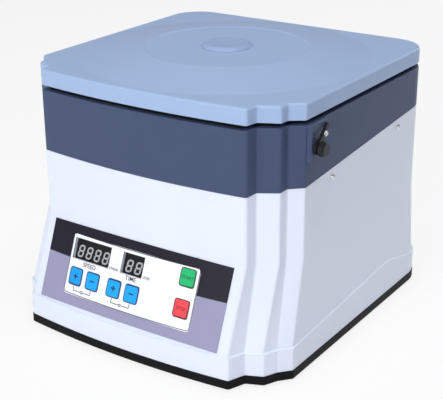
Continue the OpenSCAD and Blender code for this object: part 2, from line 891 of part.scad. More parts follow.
module latch_screw() {
    color([0.9, 0.9, 0.92])
    translate([latch_x + latch_arm_t + 0.05, latch_y + 11.5, latch_z + 12.8])
        rotate([0, 90, 0])
            difference() {
                union() {
                    cylinder(r = 3, h = 1.2);
                    translate([0, 0, 1]) cylinder(r1 = 2.8, r2 = 1.9, h = 1.6);
                }
                translate([-2.4, -0.35, 1.9]) cube([4.8, 0.7, 2]);
            }
}

tray_r = 114;
tray_t = 3;
ear_x = 17.2;
ear_t = 3;
module rotor_tray() {
    color([0.72, 0.74, 0.77])
    difference() {
        rotate_extrude()
            polygon([
                [spindle_r, rotor_low], [tray_r, rotor_low], [tray_r, rotor_low + 18], [tray_r - 2, rotor_low + 18],
                [tray_r - 2, rotor_low + tray_t], [30, rotor_low + tray_t], [22, rotor_low + 8], [18, rotor_low + 34],
                [spindle_r, rotor_low + 34]]);
        for (i = [0:holder_count - 1])
            rotate([0, 0, i * 360 / holder_count + 30])
                translate([60, 0, rotor_low - 1]) cylinder(r = 16, h = 6);
    }
}

// A pair of ears beside each holder, each with a bore for its pivot pin
module trunnion_brackets() {
    foot = rotor_low + tray_t;
    color([0.78, 0.8, 0.82])
    for (i = [0:holder_count - 1])
        rotate([0, 0, i * 360 / holder_count])
            translate([0, -pivot_r, 0])
                difference() {
                    union()
                        for (side = [-1, 1]) {
                            translate([side * ear_x - (side < 0 ? ear_t : 0), -6, foot])
                                cube([ear_t, 12, pivot_z - foot]);
                            translate([side * ear_x - (side < 0 ? ear_t : 0), 0, pivot_z])
                                rotate([0, 90, 0]) cylinder(r = 6, h = ear_t);
                            translate([side > 0 ? ear_x : -ear_x - 8, -6, foot])
                                cube([8, 12, 2]);
                        }
                    translate([0, 0, pivot_z])
                        rotate([0, 90, 0]) cylinder(r = pivot_pin_r + running_gap, h = 60, center = true);
                }
}

module rotor_nut() {
    z = rotor_low + 34;
    color([0.1, 0.1, 0.12])
    translate([0, 0, z])
        difference() {
            union() {
                cylinder(r = 15, h = 6);
                translate([0, 0, 6]) cylinder(r1 = 13, r2 = 11, h = 14);
            }
            for (i = [0:9])
                rotate([0, 0, i * 36])
                    translate([14.4, 0, 7]) cylinder(r = 2.4, h = 20);
            translate([0, 0, -1]) cylinder(r = spindle_r, h = 14.2);
        }
}

// Frame of holder i: x along the pivot, y inwards to the rotor axis, z up the leaning holder
module at_holder(i) {
    rotate([0, 0, i * 360 / holder_count])
        translate([0, -pivot_r, pivot_z])
            rotate([-holder_lean, 0, 0])
                children();
}

clip_half = 15;
clip_low = -44;
clip_high = 26;
clip_t = 1.2;
slide_back = -3;
module slide_clip(i) {
    color([0.83, 0.84, 0.86])
    at_holder(i) {
        translate([-clip_half, slide_back - clip_t, clip_low])
            cube([2 * clip_half, clip_t, clip_high - clip_low]);
        for (side = [-1, 1]) {
            translate([side > 0 ? clip_half - clip_t : -clip_half, slide_back - clip_t, -16])
                cube([clip_t, 10, 22]);
            translate([side > 0 ? clip_half - 0.3 : -ear_x - ear_t - 0.8, 0, 0])
                rotate([0, 90, 0])
                    cylinder(r = pivot_pin_r, h = ear_x + ear_t + 0.8 - clip_half + 0.3);
        }
        translate([-clip_half, slide_back - clip_t, clip_low])
            cube([2 * clip_half, 8, clip_t]);
    }
}

module glass_slide(i) {
    color([0.75, 0.9, 0.95, 0.5])
    at_holder(i)
        translate([-12.5, slide_back + 0.05, clip_low + clip_t])
            cube([25, 1, 75]);
}

module sample_funnel(i) {
    front = slide_back + 1.1;
    color([0.95, 0.96, 0.98])
    at_holder(i)
        difference() {
            union() {
                translate([-12, front, -36]) cube([24, 3, 48]);
                translate([-9, front, -16]) cube([18, 20, 10]);
                translate([0, front + 11, -14]) cylinder(r = well_r + 2, h = 38);
                translate([0, front + 11, 22]) cylinder(r = well_r + 3.5, h = 2);
                translate([-1.5, front, -6]) cube([3, 6, 20]);
            }
            translate([0, front + 11, -11]) cylinder(r = well_r, h = 60);
            translate([0, front - 1, -10])
                rotate([-90, 0, 0]) cylinder(r = 3, h = 12);
        }
}

// How far the rotor axis stands from the middle of the whole machine
front_reach = -min([for (p = outline(half_w + side_flare + ledge_step, corner_front + flute_out + ledge_step,
    rear_y, rear_r, lower_flute)) p.y]) + 0.8;
rear_reach = hinge_y + knuckle_r;
right_reach = latch_x + latch_arm_t + 8.7;
left_reach = half_w + side_flare + ledge_step + 0.8;
module placed() {
    translate([(left_reach - right_reach) / 2, (front_reach - rear_reach) / 2, 0])
        children();
}

placed() base_tray();
placed() rubber_feet();
placed() lower_housing();
placed() upper_housing();
placed() rim_gasket();
placed() chamber_bowl();
placed() chamber_seal();
placed() side_screws();
placed() control_label();
placed() membrane_panel();
placed() display(speed_window);  // speed_display
placed() display(time_window);  // time_display
placed() control_board();
placed() motor_can();
placed() motor_stator();
placed() motor_bearings();
placed() motor_plate();
placed() vibration_mounts();
placed() hinge_leaves_body();
placed() power_inlet();
placed() switch_frame();
placed() power_rocker();
placed() fuse_holders();
placed() lid_shell();
placed() lid_liner();
placed() port_cap();
placed() hinge_leaves_lid();
placed() hinge_pins();
placed() lid_keeper();
placed() latch_lever();
placed() latch_screw();
placed() spindle();
placed() motor_core();
placed() rotor_tray();
placed() trunnion_brackets();
placed() rotor_nut();
for (i = [0:len(key_names) - 1])
    placed() key(i);
for (i = [0:holder_count - 1]) {
    placed() slide_clip(i);
    placed() glass_slide(i);
    placed() sample_funnel(i);
}
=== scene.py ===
import json
import math

import bmesh
import bpy
from mathutils import Matrix, Vector
from mathutils.geometry import delaunay_2d_cdt

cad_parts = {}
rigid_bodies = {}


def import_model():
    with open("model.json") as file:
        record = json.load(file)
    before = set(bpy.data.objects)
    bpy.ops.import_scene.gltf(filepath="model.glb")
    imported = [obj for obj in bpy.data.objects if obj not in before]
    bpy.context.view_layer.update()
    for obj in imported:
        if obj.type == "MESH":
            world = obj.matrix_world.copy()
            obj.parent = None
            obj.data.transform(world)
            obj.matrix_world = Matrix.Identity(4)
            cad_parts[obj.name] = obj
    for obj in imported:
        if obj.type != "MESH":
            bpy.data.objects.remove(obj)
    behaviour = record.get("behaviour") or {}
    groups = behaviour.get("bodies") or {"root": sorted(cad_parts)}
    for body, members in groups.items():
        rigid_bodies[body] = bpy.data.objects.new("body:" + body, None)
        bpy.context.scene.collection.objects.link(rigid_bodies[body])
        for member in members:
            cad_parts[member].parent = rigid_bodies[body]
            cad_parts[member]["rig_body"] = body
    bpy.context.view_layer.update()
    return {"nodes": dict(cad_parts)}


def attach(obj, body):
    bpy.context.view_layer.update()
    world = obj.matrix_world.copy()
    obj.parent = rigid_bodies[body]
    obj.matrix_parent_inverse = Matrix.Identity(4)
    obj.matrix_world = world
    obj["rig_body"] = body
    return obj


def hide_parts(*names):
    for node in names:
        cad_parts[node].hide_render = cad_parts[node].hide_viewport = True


mm = 0.001
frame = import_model()
holders = 6
rotor = {"x": -4.5 * mm, "y": 13.968 * mm}
print("frame loaded:", len(frame["nodes"]), "nodes")


# Camera and lights

view = {
    "place": (0.68395, -1.00816, 0.61649),
    "yaw": 34.29,
    "pitch": -22.06,
    "roll": -0.36,
    "lens": 89.24,
    "sensor": 36,
    "near": 0.02,
}


def link(name, data):
    made = bpy.data.objects.new(name, data)
    bpy.context.scene.collection.objects.link(made)
    return made


def makeCamera():
    yaw, pitch, roll = (math.radians(view[k]) for k in ("yaw", "pitch", "roll"))
    forward = Vector((-math.sin(yaw) * math.cos(pitch), math.cos(yaw) * math.cos(pitch), math.sin(pitch)))
    level = Vector((math.cos(yaw), math.sin(yaw), 0))
    up = level.cross(forward)
    right = level * math.cos(roll) + up * math.sin(roll)
    top = right.cross(forward)
    data = bpy.data.cameras.new("studioCamera")
    data.sensor_fit = "HORIZONTAL"
    data.sensor_width = view["sensor"]
    data.lens = view["lens"]
    data.clip_start = view["near"]
    camera = link("studioCamera", data)
    turn = Matrix((right, top, -forward)).transposed().to_4x4()
    camera.matrix_world = Matrix.Translation(view["place"]) @ turn
    bpy.context.scene.camera = camera


lamps = {  # name: (place, target, size across, watts)
    "keyLamp": ((0.1, -2.5, 1.15), (0, 0, 0.15), 1.0, 34),
    "topLamp": ((0.4, -0.2, 2.3), (0, 0, 0.2), 1.6, 21),
    "sideLamp": ((2.2, 0.3, 0.9), (0, 0, 0.15), 1.2, 0.5),
    "rearLamp": ((0.6, 2.5, 1.1), (0, 0, 0.15), 1.4, 9),
}


def makeLamps():
    for name, (place, target, size, watts) in lamps.items():
        data = bpy.data.lights.new(name, "AREA")
        data.shape = "DISK"
        data.size = size
        data.energy = watts
        aim = Vector(target) - Vector(place)
        turn = aim.to_track_quat("-Z", "Y").to_matrix().to_4x4()
        link(name, data).matrix_world = Matrix.Translation(place) @ turn


makeCamera()
makeLamps()
bpy.context.scene.view_settings.view_transform = "Standard"
print("camera and lamps placed")


# Shader maths: a socket that takes part in Python expressions

class Wire:
    def __init__(self, finish, socket):
        self.finish = finish
        self.socket = socket

    def maths(self, operation, *others):
        return self.finish.node("ShaderNodeMath", {"operation": operation}, self, *others)

    def __add__(self, other):
        return self.maths("ADD", other)

    def __radd__(self, other):
        return self.maths("ADD", other)

    def __sub__(self, other):
        return self.maths("SUBTRACT", other)

    def __rsub__(self, other):
        return self.finish.node("ShaderNodeMath", {"operation": "SUBTRACT"}, other, self)

    def __mul__(self, other):
        return self.maths("MULTIPLY", other)

    def __rmul__(self, other):
        return self.maths("MULTIPLY", other)

    def __truediv__(self, other):
        return self.maths("DIVIDE", other)

    def __gt__(self, other):
        return self.maths("GREATER_THAN", other)

    def __lt__(self, other):
        return self.maths("LESS_THAN", other)

    def __abs__(self):
        return self.maths("ABSOLUTE")

    def above(self, other):
        return self.maths("MAXIMUM", other)

    def root(self):
        return self.maths("SQRT")

    def wave(self):
        return self.maths("SINE")

    def ramp(self, low, high):
        ends = {"From Min": low, "From Max": high}
        return self.finish.node("ShaderNodeMapRange", {"clamp": True}, Value=self, **ends)


class Finish:
    def __init__(self, name, colour, rough=0.4, **sockets):
        self.material = bpy.data.materials.new(name)
        self.material.use_nodes = True
        self.tree = self.material.node_tree
        self.shader = self.tree.nodes["Principled BSDF"]
        self.set("Base Color", (*colour, 1))
        self.set("Roughness", rough)
        for socket, value in sockets.items():
            self.set(socket.replace("_", " "), value)
        self.coords = self.node("ShaderNodeTexCoord", {}, output="Object")

    def set(self, socket, value):
        self.plug(self.shader.inputs[socket], value)

    def plug(self, socket, value):
        if isinstance(value, Wire):
            self.tree.links.new(value.socket, socket)
        else:
            socket.default_value = value

    def node(self, kind, settings, *values, output=0, **named):
        made = self.tree.nodes.new(kind)
        for key, value in settings.items():
            setattr(made, key, value)
        for i, value in enumerate(values):
            self.plug(made.inputs[i], value)
        for key, value in named.items():
            self.plug(made.inputs[key], value)
        return Wire(self, made.outputs[output])

    def mix(self, mask, first, second):
        # The colour sockets of a Mix node are its seventh and eighth, and its colour output is the third
        first, second = ((*c, 1) if isinstance(c, tuple) and len(c) == 3 else c for c in (first, second))
        made = self.tree.nodes.new("ShaderNodeMix")
        made.data_type = "RGBA"
        for i, value in ((0, mask), (6, first), (7, second)):
            self.plug(made.inputs[i], value)
        return Wire(self, made.outputs[2])

    def placed(self, move=(0, 0, 0), stretch=(1, 1, 1)):
        return self.node("ShaderNodeMapping", {}, Vector=self.coords, Location=move, Scale=stretch)

    def noise(self, size, detail=2.0, rough=0.5, where=None):
        spot = where or self.coords
        return self.node("ShaderNodeTexNoise", {}, Vector=spot, Scale=1 / size, Detail=detail, Roughness=rough)

    def axes(self, where=None):
        split = self.tree.nodes.new("ShaderNodeSeparateXYZ")
        self.plug(split.inputs[0], where or self.coords)
        return [Wire(self, split.outputs[i]) for i in range(3)]

    def relief(self, height, depth, strength=1.0):
        bump = self.node("ShaderNodeBump", {}, Strength=strength, Distance=depth, Height=height)
        self.set("Normal", bump)
        return self

    def between(self, mask, colour, dark, light):
        darker = tuple(c * dark for c in colour)
        lighter = tuple(min(1, c * light) for c in colour)
        self.set("Base Color", self.mix(mask, darker, lighter))


def rgb(red, green, blue):
    return tuple(((c / 255 + 0.055) / 1.055) ** 2.4 if c > 10 else c / 255 / 12.92 for c in (red, green, blue))


# Finishes

def moulded(name, colour, rough=0.38, grain=0.0012, drift=0.02, gloss=0.5):
    finish = Finish(name, colour, rough, Specular_IOR_Level=gloss)
    skin = finish.noise(grain, 3)
    handled = finish.noise(0.035, 4, 0.6)
    finish.between(finish.noise(0.09, 3), colour, 1 - drift, 1 + drift)
    finish.set("Roughness", rough - 0.05 + handled * 0.1)
    return finish.relief(skin, 0.03 * mm, 0.5)


def rubber(name, colour):
    rough = 0.7
    finish = Finish(name, colour, rough, Specular_IOR_Level=0.12)
    dust = finish.noise(0.012, 4, 0.65)
    dusty = tuple(c + 0.02 for c in colour)
    finish.set("Base Color", finish.mix(dust.ramp(0.45, 0.8) * 0.35, colour, dusty))
    finish.set("Roughness", rough - 0.08 + dust * 0.16)
    return finish.relief(finish.noise(0.0007, 2), 0.04 * mm, 0.6)


def steel(name, colour, rough=0.3, run=(1, 1, 40), streak=0.0006):
    longest = 40
    finish = Finish(name, colour, rough, Metallic=1.0)
    stretched = finish.placed(stretch=tuple(longest / r for r in run))
    lines = finish.noise(streak * longest, 3, 0.7, stretched)
    finish.between(lines, colour, 0.86, 1.08)
    finish.set("Roughness", rough - 0.07 + lines * 0.14)
    return finish.relief(lines, 0.01 * mm, 0.4)


def turned(name, colour, rough=0.3, pitch=0.0016):
    finish = Finish(name, colour, rough, Metallic=1.0)
    x, y, z = finish.axes(finish.placed(move=(-rotor["x"], -rotor["y"], 0)))
    rings = ((x * x + y * y).root() * (2 * math.pi / pitch)).wave()
    stain = finish.noise(0.02, 4)
    finish.between(stain, colour, 0.9, 1.06)
    finish.set("Roughness", rough + rings * 0.03 + stain * 0.06)
    return finish.relief(rings, 0.01 * mm, 0.3)


finishes = {
    "lid": moulded("paleBlueLid", rgb(164, 187, 223), 0.42, gloss=0.35),
    "cap": moulded("paleBlueCap", rgb(156, 178, 216), 0.4, gloss=0.35),
    "band": moulded("slateBand", rgb(70, 83, 113), 0.4, gloss=0.16),
    "housing": moulded("whiteHousing", rgb(229, 236, 252), 0.34, drift=0.012),
    "liner": moulded("greyLiner", rgb(205, 211, 222), 0.5),
    "blackPlastic": moulded("blackMoulding", (0.008, 0.008, 0.01), 0.42, drift=0.2, gloss=0.3),
    "tray": moulded("blackTray", (0.004, 0.004, 0.005), 0.55, grain=0.0009, drift=0.3, gloss=0.12),
    "seal": rubber("blackSeal", (0.006, 0.006, 0.007)),
    "feet": rubber("footRubber", (0.012, 0.012, 0.013)),
    "funnel": moulded("funnelPlastic", rgb(240, 242, 246), 0.42),
    "bowl": turned("spunSteel", (0.62, 0.63, 0.65), 0.32, 0.004),
    "tumbled": turned("anodisedRotor", (0.6, 0.62, 0.66), 0.34),
    "steel": steel("brushedSteel", (0.55, 0.56, 0.58), 0.32),
    "spring": steel("springSteel", (0.66, 0.67, 0.7), 0.26),
    "lamination": steel("laminatedSteel", (0.36, 0.34, 0.33), 0.5, run=(40, 40, 1), streak=0.0005),
    "screws": steel("platedScrew", (0.72, 0.73, 0.75), 0.2, run=(1, 8, 1)),
    "can": moulded("motorPaint", (0.02, 0.02, 0.023), 0.45, drift=0.2),
    "ink": moulded("greyInk", rgb(58, 58, 66), 0.5, drift=0.05),
    "navyInk": moulded("navyInk", rgb(14, 30, 84), 0.45, drift=0.1),
    "greenInk": moulded("greenInk", rgb(0, 74, 50), 0.45, drift=0.1),
    "redInk": moulded("redInk", rgb(120, 14, 26), 0.45, drift=0.1),
    "rimInk": moulded("keyRimInk", rgb(26, 40, 84), 0.45, drift=0.1),
    "rimGreenInk": moulded("startRimInk", rgb(14, 62, 58), 0.45, drift=0.1),
    "rimRedInk": moulded("stopRimInk", rgb(88, 22, 40), 0.45, drift=0.1),
    "segment": moulded("unlitSegment", rgb(186, 186, 192), 0.55, grain=0.0005, drift=0.08),
}


def glassFinish():
    clear, ground = (0.86, 0.95, 0.96), (0.9, 0.92, 0.93)
    groundFrom = 223.5 * mm
    finish = Finish("groundGlass", clear, 0.06, Transmission_Weight=0.85, IOR=1.5)
    x, y, z = finish.axes()
    frosted = (z > groundFrom) * 0.9
    finish.set("Roughness", 0.05 + frosted * 0.6 + finish.noise(0.004, 3) * 0.04)
    finish.set("Base Color", finish.mix(frosted, clear, ground))
    return finish


def boardFinish():
    track, mask = (0.02, 0.2, 0.08), (0.006, 0.09, 0.035)
    cellsPerMetre = 260
    finish = Finish("solderMask", (0.01, 0.12, 0.05), 0.35)
    settings = {"distance": "MANHATTAN", "feature": "F1"}
    cells = finish.node("ShaderNodeTexVoronoi", settings, Vector=finish.coords, Scale=cellsPerMetre)
    finish.set("Base Color", finish.mix(cells.ramp(0.42, 0.5), track, mask))
    return finish.relief(cells, 0.1 * mm, 0.4)


finishes["glass"] = glassFinish()
finishes["board"] = boardFinish()


# The sloped panel, in mm: u to the right, v down the slope from the label's top edge, out of the face

panel = {
    "lean": math.radians(21.8),
    "top": (-4.5, 13.968 - 118 - 48.3 - 8.3 - math.tan(math.radians(21.8)), 128),
    "bow": 8.3,
    "bowHalf": 135,
    "labelStart": 0.3,
    "membraneFace": 1.2,
    "keyFace": 1.7,
}


def onPanel(u, v, out=0.0):
    bow = panel["bow"] * (u / panel["bowHalf"]) ** 2
    sink = bow * math.cos(panel["lean"])
    tilt = math.atan(2 * panel["bow"] * math.cos(panel["lean"]) * u / panel["bowHalf"] ** 2)
    place = (
        Matrix.Translation(panel["top"])
        @ Matrix.Rotation(math.pi / 2 - panel["lean"], 4, "X")
        @ Matrix.Translation((u, -v, -sink))
        @ Matrix.Rotation(tilt, 4, "Y")
        @ Matrix.Translation((0, 0, out))
    )
    return Matrix.Scale(mm, 4) @ place


def panelAxes(finish):
    x, y, z = finish.axes()
    u = x * 1000 - panel["top"][0]
    v = (panel["top"][2] - z * 1000) / math.cos(panel["lean"]) + panel["labelStart"]
    return u, v


def roundedDistance(u, v, centre, size, corner):
    du = (abs(u - centre[0]) - (size[0] / 2 - corner)).above(0)
    dv = (abs(v - centre[1]) - (size[1] / 2 - corner)).above(0)
    return (du * du + dv * dv).root() - corner


label = {
    "split": 40,
    "upper": rgb(27, 23, 36),
    "lower": rgb(156, 155, 186),
    "grain": (0.2, 0.19, 0.26),
}
membrane = {
    "centre": (-1.1, 10.6 + 34.2),
    "size": (174.8, 68.4),
    "corner": 4,
    "lineIn": 0.5,
    "lineHalf": 0.42,
    "face": rgb(246, 248, 252),
    # dark edge line colour: partly the printed outline, partly painted shade along the sheet's edge
    "line": rgb(52, 54, 76),
}
filmGrain = 0.02 * mm  # depth of the fine texture on the printed sheets


def labelFinish():
    finish = Finish("labelFilm", label["lower"], 0.42, Specular_IOR_Level=0.2)
    u, v = panelAxes(finish)
    lower = (v - label["split"]).ramp(-0.25, 0.25)
    grain = finish.noise(0.0009, 3)
    film = finish.mix(lower, label["upper"], label["lower"])
    finish.set("Base Color", finish.mix(grain * 0.06, film, label["grain"]))
    finish.set("Roughness", 0.4 + grain * 0.12)
    return finish.relief(grain, filmGrain, 0.4)


def membraneFinish():
    finish = Finish("membraneFilm", membrane["face"], 0.34, Coat_Weight=0.2, Coat_Roughness=0.3)
    u, v = panelAxes(finish)
    edge = roundedDistance(u, v, membrane["centre"], membrane["size"], membrane["corner"])
    # a dark line drawn evenly round the sheet's edge: partly the printed outline, partly painted shade where
    # the sheet's edge shades
    line = abs(edge + membrane["lineIn"]) < membrane["lineHalf"]
    grain = finish.noise(0.0008, 3)
    finish.set("Base Color", finish.mix(line, membrane["face"], membrane["line"]))
    finish.set("Roughness", 0.3 + grain * 0.12)
    return finish.relief(grain, filmGrain, 0.4)


finishes["label"] = labelFinish()
finishes["membrane"] = membraneFinish()

keys = {  # node: (u, v, face colour, mark)
    "key_speed_up": (-74.2, 57.6, rgb(0, 160, 240), "plus"),
    "key_speed_down": (-49.1, 57.6, rgb(0, 168, 246), "minus"),
    "key_time_up": (-18.2, 57.4, rgb(0, 168, 246), "plus"),
    "key_time_down": (6.7, 57.4, rgb(0, 168, 246), "minus"),
    "key_start": (72.3, 22.8, rgb(0, 190, 112), "START"),
    "key_stop": (71.8, 56.4, rgb(245, 66, 78), "STOP"),
}
keyInks = {  # mark: (rim, mark)
    "plus": ("rimInk", "navyInk"),
    "minus": ("rimInk", "navyInk"),
    "START": ("rimGreenInk", "greenInk"),
    "STOP": ("rimRedInk", "redInk"),
}
keyShape = {
    "size": (17.3, 18.5),
    "corner": 2.5,
    "rimIn": 0.4,
    "rim": 1.0,
    "blueEdge": rgb(20, 62, 140),
}


def keyFinish(node):
    u0, v0, colour, mark = keys[node]
    finish = Finish(node + "Film", colour, 0.3, Coat_Weight=0.3, Coat_Roughness=0.2)
    u, v = panelAxes(finish)
    edge = roundedDistance(u, v, (u0, v0), keyShape["size"], keyShape["corner"])
    rim = tuple(c * 0.25 for c in colour) if mark in ("START", "STOP") else keyShape["blueEdge"]
    grain = finish.noise(0.0008, 3)
    worn = finish.noise(0.006, 3)
    face = finish.mix(worn * 0.3, colour, tuple(min(1, c * 1.12 + 0.02) for c in colour))
    finish.set("Base Color", finish.mix((edge + keyShape["rimIn"]).ramp(-0.2, 0.2), face, rim))
    finish.set("Roughness", 0.28 + grain * 0.14)
    return finish.relief(grain, filmGrain, 0.4)


for keyNode in keys:
    finishes[keyNode] = keyFinish(keyNode)
print("finishes ready:", len(finishes))


# Piece makers

def inside(point, outline):
    crossings = 0
    for (ax, ay), (bx, by) in outline:
        if (ay > point.y) != (by > point.y) and point.x < ax + (point.y - ay) * (bx - ax) / (by - ay):
            crossings += 1
    return crossings % 2 == 1


def retile(bm):
    # A flat face that runs round a hole is cut into triangles here: the triangulate operator folds it over
    for face in [f for f in bm.faces if len(f.verts) > 4]:
        turn = face.normal.to_track_quat("Z", "Y").to_matrix().transposed()
        corners = list(dict.fromkeys(face.verts))
        flat = [(turn @ v.co).xy for v in corners]
        number = {v: i for i, v in enumerate(corners)}
        sides = [(number[loop.vert], number[loop.link_loop_next.vert]) for loop in face.loops]
        outline = [(flat[a], flat[b]) for a, b in sides]
        points, _, tiles, sources, _, _ = delaunay_2d_cdt(flat, sides, [], 0, 1e-9)
        if len(points) != len(corners):
            continue
        kept = [t for t in tiles if inside(sum((points[i] for i in t), Vector((0, 0))) / 3, outline)]
        bmesh.ops.delete(bm, geom=[face], context="FACES_ONLY")
        for tile in kept:
            ends = [corners[sources[i][0]] for i in tile]
            if not bm.faces.get(ends):
                bm.faces.new(ends)


mesher = {
    "weld": 2e-6,
    "flat": math.radians(0.1),  # faces that meet flatter than this become one
    "crease": math.radians(32),  # edges that shade sharp
    "soften": 34,  # degrees: edges that are rounded
}


def finishMesh(bm, name, finish, body, weighted=False):
    mesh = bpy.data.meshes.new(name)
    bm.to_mesh(mesh)
    bm.free()
    for face in mesh.polygons:
        face.use_smooth = True
    mesh.set_sharp_from_angle(angle=mesher["crease"])
    mesh.materials.append(finishes[finish].material)
    piece = link(name, mesh)
    if weighted:
        keep = piece.modifiers.new("flatFaces", "WEIGHTED_NORMAL")
        keep.keep_sharp = True
    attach(piece, body)
    return piece


def bodyOf(node):
    return frame["nodes"][node]["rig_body"]


def cleanCopy(node):
    bm = bmesh.new()
    bm.from_mesh(frame["nodes"][node].data)
    bmesh.ops.remove_doubles(bm, verts=bm.verts, dist=mesher["weld"])
    bmesh.ops.dissolve_limit(
        bm, angle_limit=mesher["flat"], verts=bm.verts, edges=bm.edges, use_dissolve_boundaries=False)
    return bm


def sharpEdges(bm, angle):
    return [e for e in bm.edges if e.is_manifold and e.calc_face_angle(0) > math.radians(angle)]


def soften(bm, edges, width, segments, clamp=True):
    if edges:
        bmesh.ops.bevel(
            bm, geom=edges, offset=width * mm, offset_type="OFFSET", segments=segments, profile=0.5,
            affect="EDGES", clamp_overlap=clamp, material=-1)


def outerEdge(edge):
    middle = (edge.verts[0].co + edge.verts[1].co) / 2 - Vector((rotor["x"], rotor["y"], 0))
    side = min(edge.link_faces, key=lambda f: abs(f.normal.z))
    return side.normal.xy.dot(middle.xy) > 0 and abs(side.normal.z) < 0.5


def rimEdges(bm, height):
    # The outer rim at one height
    near = 0.02 * mm
    level = [e for e in sharpEdges(bm, 60) if all(abs(v.co.z - height * mm) < near for v in e.verts)]
    return [e for e in level if outerEdge(e)]


def creaseRings(mesh, rings):
    # Circles about the rotor axis that shade sharp, though they are too flat for the angle to find
    near = 0.3
    reach = [math.hypot(v.co.x - rotor["x"], v.co.y - rotor["y"]) / mm for v in mesh.vertices]
    for edge in mesh.edges:
        if any(all(abs(reach[i] - ring) < near for i in edge.vertices) for ring in rings):
            edge.use_edge_sharp = True


def softCopy(node, finish, width=0.4, segments=2, rims=(), rings=()):
    bm = cleanCopy(node)
    for height, wide, steps in rims:
        soften(bm, rimEdges(bm, height), wide, steps, clamp=False)
    soften(bm, sharpEdges(bm, mesher["soften"]), width, segments)
    retile(bm)
    piece = finishMesh(bm, node.replace("_", "") + "Shown", finish, bodyOf(node), weighted=True)
    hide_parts(node)
    creaseRings(piece.data, rings)


# Every piece of the frame, with its edges rounded
lidRims = ((298.5, 3.2, 5), (280.5, 0.8, 2))  # (height, radius, steps)
bandRims = ((275.5, 1.6, 3),)
domeRings = (167, 95, 92)  # radii in mm
softCopy("lid_shell", "lid", 0.5, rims=lidRims, rings=domeRings)
softCopy("upper_housing", "band", 0.4, rims=bandRims)
softCopy("lower_housing", "housing", 0.5)

shown = {  # node: (finish, edge radius in mm)
    "base_tray": ("tray", 0.5),
    "rubber_feet": ("feet", 0.5),
    "rim_gasket": ("seal", 0.3),
    "chamber_seal": ("seal", 0.3),
    "chamber_bowl": ("bowl", 0.3),
    "port_cap": ("cap", 0.5),
    "side_screws": ("screws", 0.15),
    "latch_lever": ("blackPlastic", 0.35),
    "latch_screw": ("screws", 0.15),
    "lid_liner": ("liner", 0.4),
    "lid_keeper": ("steel", 0.2),
    "hinge_leaves_body": ("steel", 0.25),
    "hinge_leaves_lid": ("steel", 0.25),
    "hinge_pins": ("steel", 0.2),
    "control_label": ("label", 0.1),
    "membrane_panel": ("membrane", 0.15),
    "speed_display": ("blackPlastic", 0.15),
    "time_display": ("blackPlastic", 0.15),
    "power_inlet": ("blackPlastic", 0.3),
    "switch_frame": ("blackPlastic", 0.3),
    "power_rocker": ("blackPlastic", 0.3),
    "fuse_holders": ("blackPlastic", 0.3),
    "rotor_tray": ("tumbled", 0.3),
    "trunnion_brackets": ("tumbled", 0.3),
    "rotor_nut": ("blackPlastic", 0.4),
}
for node, (finish, width) in shown.items():
    softCopy(node, finish, width)
for node in keys:
    softCopy(node, node, 0.35, 3)
for i in range(1, holders + 1):
    softCopy(f"slide_clip_{i}", "spring", 0.2)
    softCopy(f"glass_slide_{i}", "glass", 0.12)
    softCopy(f"sample_funnel_{i}", "funnel", 0.3)

closedIn = {  # node: finish, for the pieces inside the cabinet
    "control_board": "board",
    "motor_can": "can",
    "motor_stator": "lamination",
    "motor_bearings": "steel",
    "motor_plate": "steel",
    "vibration_mounts": "feet",
    "spindle": "steel",
    "motor_core": "lamination",
}
for node, finish in closedIn.items():
    softCopy(node, finish, 0.3)
print("frame pieces finished")


# Printing on the panel

print3d = {"thick": 0.06, "lift": 0.07, "letters": 0.05, "letterScale": 1.38}


def pour(part, into, place):
    bmesh.ops.recalc_face_normals(part, faces=part.faces)
    part.transform(place)
    mesh = bpy.data.meshes.new("part")
    part.to_mesh(mesh)
    part.free()
    into.from_mesh(mesh)
    bpy.data.meshes.remove(mesh)


def addBar(bm, size, thick, pointed):
    w, h = size[0] / 2, size[1] / 2
    if pointed:  # a display segment, with its ends brought to points
        p = min(w, h)
        corners = [(-w, 0), (-w + p, -p), (w - p, -p), (w, 0), (w - p, p), (-w + p, p)]
    else:
        corners = [(-w, -h), (w, -h), (w, h), (-w, h)]
    face = bm.faces.new([bm.verts.new((x, y, 0)) for x, y in corners])
    top = bmesh.ops.extrude_face_region(bm, geom=[face])["geom"]
    raised = [v for v in top if isinstance(v, bmesh.types.BMVert)]
    bmesh.ops.translate(bm, verts=raised, vec=(0, 0, thick))


def barPiece(bars, name, finish, body, pointed=False, thick=print3d["thick"]):
    bm = bmesh.new()
    for place, size in bars:
        part = bmesh.new()
        addBar(part, size, thick, pointed)
        pour(part, bm, place)
    return finishMesh(bm, name, finish, body)


def textPiece(lines, name, finish, body):
    thick = print3d["letters"]
    bm = bmesh.new()
    for words, height, place, wide in lines:
        curve = bpy.data.curves.new("words", "FONT")
        curve.body = words
        curve.size = height * print3d["letterScale"]
        curve.align_x = "CENTER"
        curve.align_y = "CENTER"
        curve.extrude = thick / 2
        curve.offset = height * wide
        curve.resolution_u = 3
        words3d = bpy.data.objects.new("words", curve)
        mesh = bpy.data.meshes.new_from_object(words3d)
        mesh.transform(place @ Matrix.Translation((0, 0, thick / 2)))
        bm.from_mesh(mesh)
        bpy.data.objects.remove(words3d)
        bpy.data.meshes.remove(mesh)
        bpy.data.curves.remove(curve)
    bmesh.ops.remove_doubles(bm, verts=bm.verts, dist=1e-7)
    return finishMesh(bm, name, finish, body)


captions = (  # words, capital height in mm, u, v
    ("SPEED", 5.0, -57.6, 42.4),
    ("r/min", 4.2, -23.2, 36.4),
    ("TIME", 5.0, 1.8, 41.8),
    ("min", 4.2, 22.2, 35.6),
)
captionWeight = 0.012
textPiece(
    [(w, h, onPanel(u, v, panel["membraneFace"]), captionWeight) for w, h, u, v in captions],
    "panelCaptions", "ink", "cabinet")

pairs = {"drop": 6.6, "line": 0.8, "icon": 2.2, "legLow": 0.6, "legCut": 1.6}
pairBottom = keyShape["size"][1] / 2 + pairs["drop"]  # from a key's middle down to its bracket


